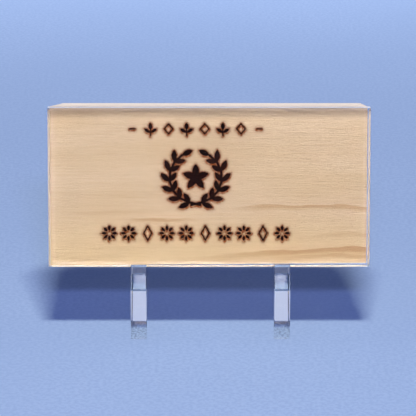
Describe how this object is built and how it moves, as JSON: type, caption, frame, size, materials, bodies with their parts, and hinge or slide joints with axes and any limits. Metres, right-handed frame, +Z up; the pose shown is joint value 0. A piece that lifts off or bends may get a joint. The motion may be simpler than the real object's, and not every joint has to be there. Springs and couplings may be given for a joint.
{
  "type": "engraved wooden plaque on stand legs",
  "caption": "Pale wooden plaque with a burnt engraving under a clear acrylic front plate, leaning on clear acrylic stand legs that slide apart.",
  "frame": {"origin": "on the table surface, under the middle of the object's box", "axes": "+Z up, +X to the viewer's right, the plaque faces -Y and leans back towards +Y"},
  "size_m": [0.12, 0.0372, 0.0869],
  "materials": {
    "clear_plate": "clear polished acrylic",
    "adhesive_film": "clear double-sided adhesive",
    "engraved_wood": "sanded, unvarnished, laser engraved",
    "clear_leg": "clear polished acrylic"
  },
  "bodies": {
    "left_leg": {"left_leg": "clear_leg"},
    "right_leg": {"right_leg": "clear_leg"},
    "plaque": {"acrylic_plate": "clear_plate", "bond_film": "adhesive_film", "wood_board": "engraved_wood"}
  },
  "joints": [
    {"name": "plaque_lift", "type": "slide", "parent": "left_leg", "child": "plaque", "axis": [0, 0.1736, 0.9848], "range_m": [0, 0.045]},
    {"name": "right_leg_spacing", "type": "slide", "parent": "left_leg", "child": "right_leg", "axis": [1, 0, 0], "range_m": [-0.02, 0.025]}
  ]
}
